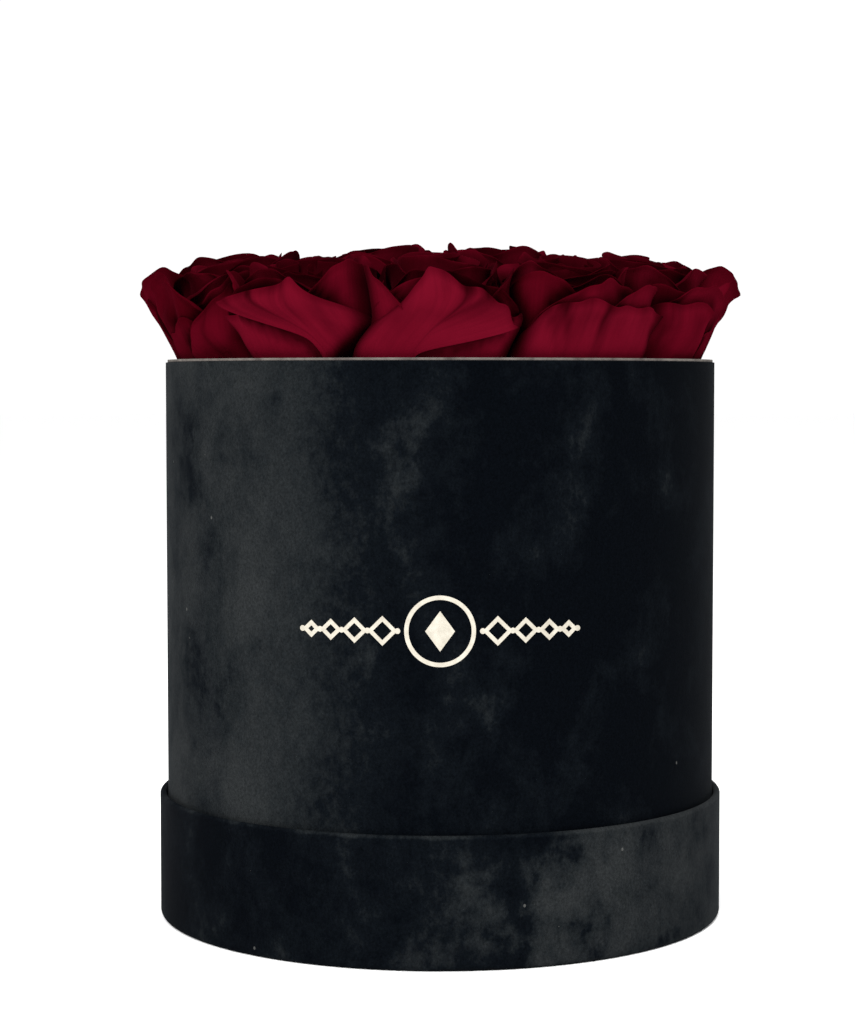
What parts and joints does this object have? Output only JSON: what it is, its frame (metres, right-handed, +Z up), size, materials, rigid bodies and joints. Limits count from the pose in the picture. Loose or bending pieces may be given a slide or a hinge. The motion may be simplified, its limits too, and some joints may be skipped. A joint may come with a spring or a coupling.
{
  "type": "flower box",
  "caption": "Round velvet-covered flower box standing in its upturned lid, packed with crimson roses set in floral foam.",
  "frame": {"origin": "centre of the lid's outer face, on the table the box stands on", "axes": "+Z up along the box's axis, -Y towards the front with the foil ornament, +X to its right"},
  "size_m": [0.1939, 0.1921, 0.2195],
  "materials": {
    "velvet": "matte",
    "board": "matte",
    "rim_board": "matte",
    "lining_paper": "matte",
    "liner_film": "gloss",
    "foam": "matte",
    "foil": "satin",
    "petals": "matte",
    "stems": "satin"
  },
  "bodies": {
    "lid": {"lid_panel_board": "board", "lid_band_board": "board", "lid_panel_velvet": "velvet", "lid_band_velvet": "velvet", "lid_lining": "lining_paper"},
    "box": {"tube_board": "rim_board", "tube_velvet": "velvet", "tube_lining": "lining_paper", "base_board": "board", "base_cover": "lining_paper", "riser_ring": "board", "riser_disc": "board", "foam_liner": "liner_film", "foam_block": "foam", "emblem": "foil"},
    "rose_01": {"rose_01_petals": "petals", "rose_01_heart": "petals", "rose_01_stem": "stems"},
    "rose_02": {"rose_02_petals": "petals", "rose_02_heart": "petals", "rose_02_stem": "stems"},
    "rose_03": {"rose_03_petals": "petals", "rose_03_heart": "petals", "rose_03_stem": "stems"},
    "rose_04": {"rose_04_petals": "petals", "rose_04_heart": "petals", "rose_04_stem": "stems"},
    "rose_05": {"rose_05_petals": "petals", "rose_05_heart": "petals", "rose_05_stem": "stems"},
    "rose_06": {"rose_06_petals": "petals", "rose_06_heart": "petals", "rose_06_stem": "stems"},
    "rose_07": {"rose_07_petals": "petals", "rose_07_heart": "petals", "rose_07_stem": "stems"},
    "rose_08": {"rose_08_petals": "petals", "rose_08_heart": "petals", "rose_08_stem": "stems"},
    "rose_09": {"rose_09_petals": "petals", "rose_09_heart": "petals", "rose_09_stem": "stems"},
    "rose_10": {"rose_10_petals": "petals", "rose_10_heart": "petals", "rose_10_stem": "stems"},
    "rose_11": {"rose_11_petals": "petals", "rose_11_heart": "petals", "rose_11_stem": "stems"},
    "rose_12": {"rose_12_petals": "petals", "rose_12_heart": "petals", "rose_12_stem": "stems"},
    "rose_13": {"rose_13_petals": "petals", "rose_13_heart": "petals", "rose_13_stem": "stems"},
    "rose_14": {"rose_14_petals": "petals", "rose_14_heart": "petals", "rose_14_stem": "stems"},
    "rose_15": {"rose_15_petals": "petals", "rose_15_heart": "petals", "rose_15_stem": "stems"}
  },
  "joints": [
    {"name": "box_lift", "type": "slide", "parent": "lid", "child": "box", "axis": [0, 0, 1], "range_m": [0, 0.06]},
    {"name": "rose_01_pull", "type": "slide", "parent": "box", "child": "rose_01", "axis": [0, -0.1736, 0.9848], "range_m": [0, 0.06]},
    {"name": "rose_02_pull", "type": "slide", "parent": "box", "child": "rose_02", "axis": [0.0939, -0.1461, 0.9848], "range_m": [0, 0.06]},
    {"name": "rose_03_pull", "type": "slide", "parent": "box", "child": "rose_03", "axis": [0.158, -0.0721, 0.9848], "range_m": [0, 0.06]},
    {"name": "rose_04_pull", "type": "slide", "parent": "box", "child": "rose_04", "axis": [0.1719, 0.0247, 0.9848], "range_m": [0, 0.06]},
    {"name": "rose_05_pull", "type": "slide", "parent": "box", "child": "rose_05", "axis": [0.1312, 0.1137, 0.9848], "range_m": [0, 0.06]},
    {"name": "rose_06_pull", "type": "slide", "parent": "box", "child": "rose_06", "axis": [0.0489, 0.1666, 0.9848], "range_m": [0, 0.06]},
    {"name": "rose_07_pull", "type": "slide", "parent": "box", "child": "rose_07", "axis": [-0.0489, 0.1666, 0.9848], "range_m": [0, 0.06]},
    {"name": "rose_08_pull", "type": "slide", "parent": "box", "child": "rose_08", "axis": [-0.1312, 0.1137, 0.9848], "range_m": [0, 0.06]},
    {"name": "rose_09_pull", "type": "slide", "parent": "box", "child": "rose_09", "axis": [-0.1719, 0.0247, 0.9848], "range_m": [0, 0.06]},
    {"name": "rose_10_pull", "type": "slide", "parent": "box", "child": "rose_10", "axis": [-0.158, -0.0721, 0.9848], "range_m": [0, 0.06]},
    {"name": "rose_11_pull", "type": "slide", "parent": "box", "child": "rose_11", "axis": [-0.0939, -0.1461, 0.9848], "range_m": [0, 0.06]},
    {"name": "rose_12_pull", "type": "slide", "parent": "box", "child": "rose_12", "axis": [0.0493, -0.0493, 0.9976], "range_m": [0, 0.06]},
    {"name": "rose_13_pull", "type": "slide", "parent": "box", "child": "rose_13", "axis": [0.0493, 0.0493, 0.9976], "range_m": [0, 0.06]},
    {"name": "rose_14_pull", "type": "slide", "parent": "box", "child": "rose_14", "axis": [-0.0493, 0.0493, 0.9976], "range_m": [0, 0.06]},
    {"name": "rose_15_pull", "type": "slide", "parent": "box", "child": "rose_15", "axis": [-0.0493, -0.0493, 0.9976], "range_m": [0, 0.06]}
  ]
}
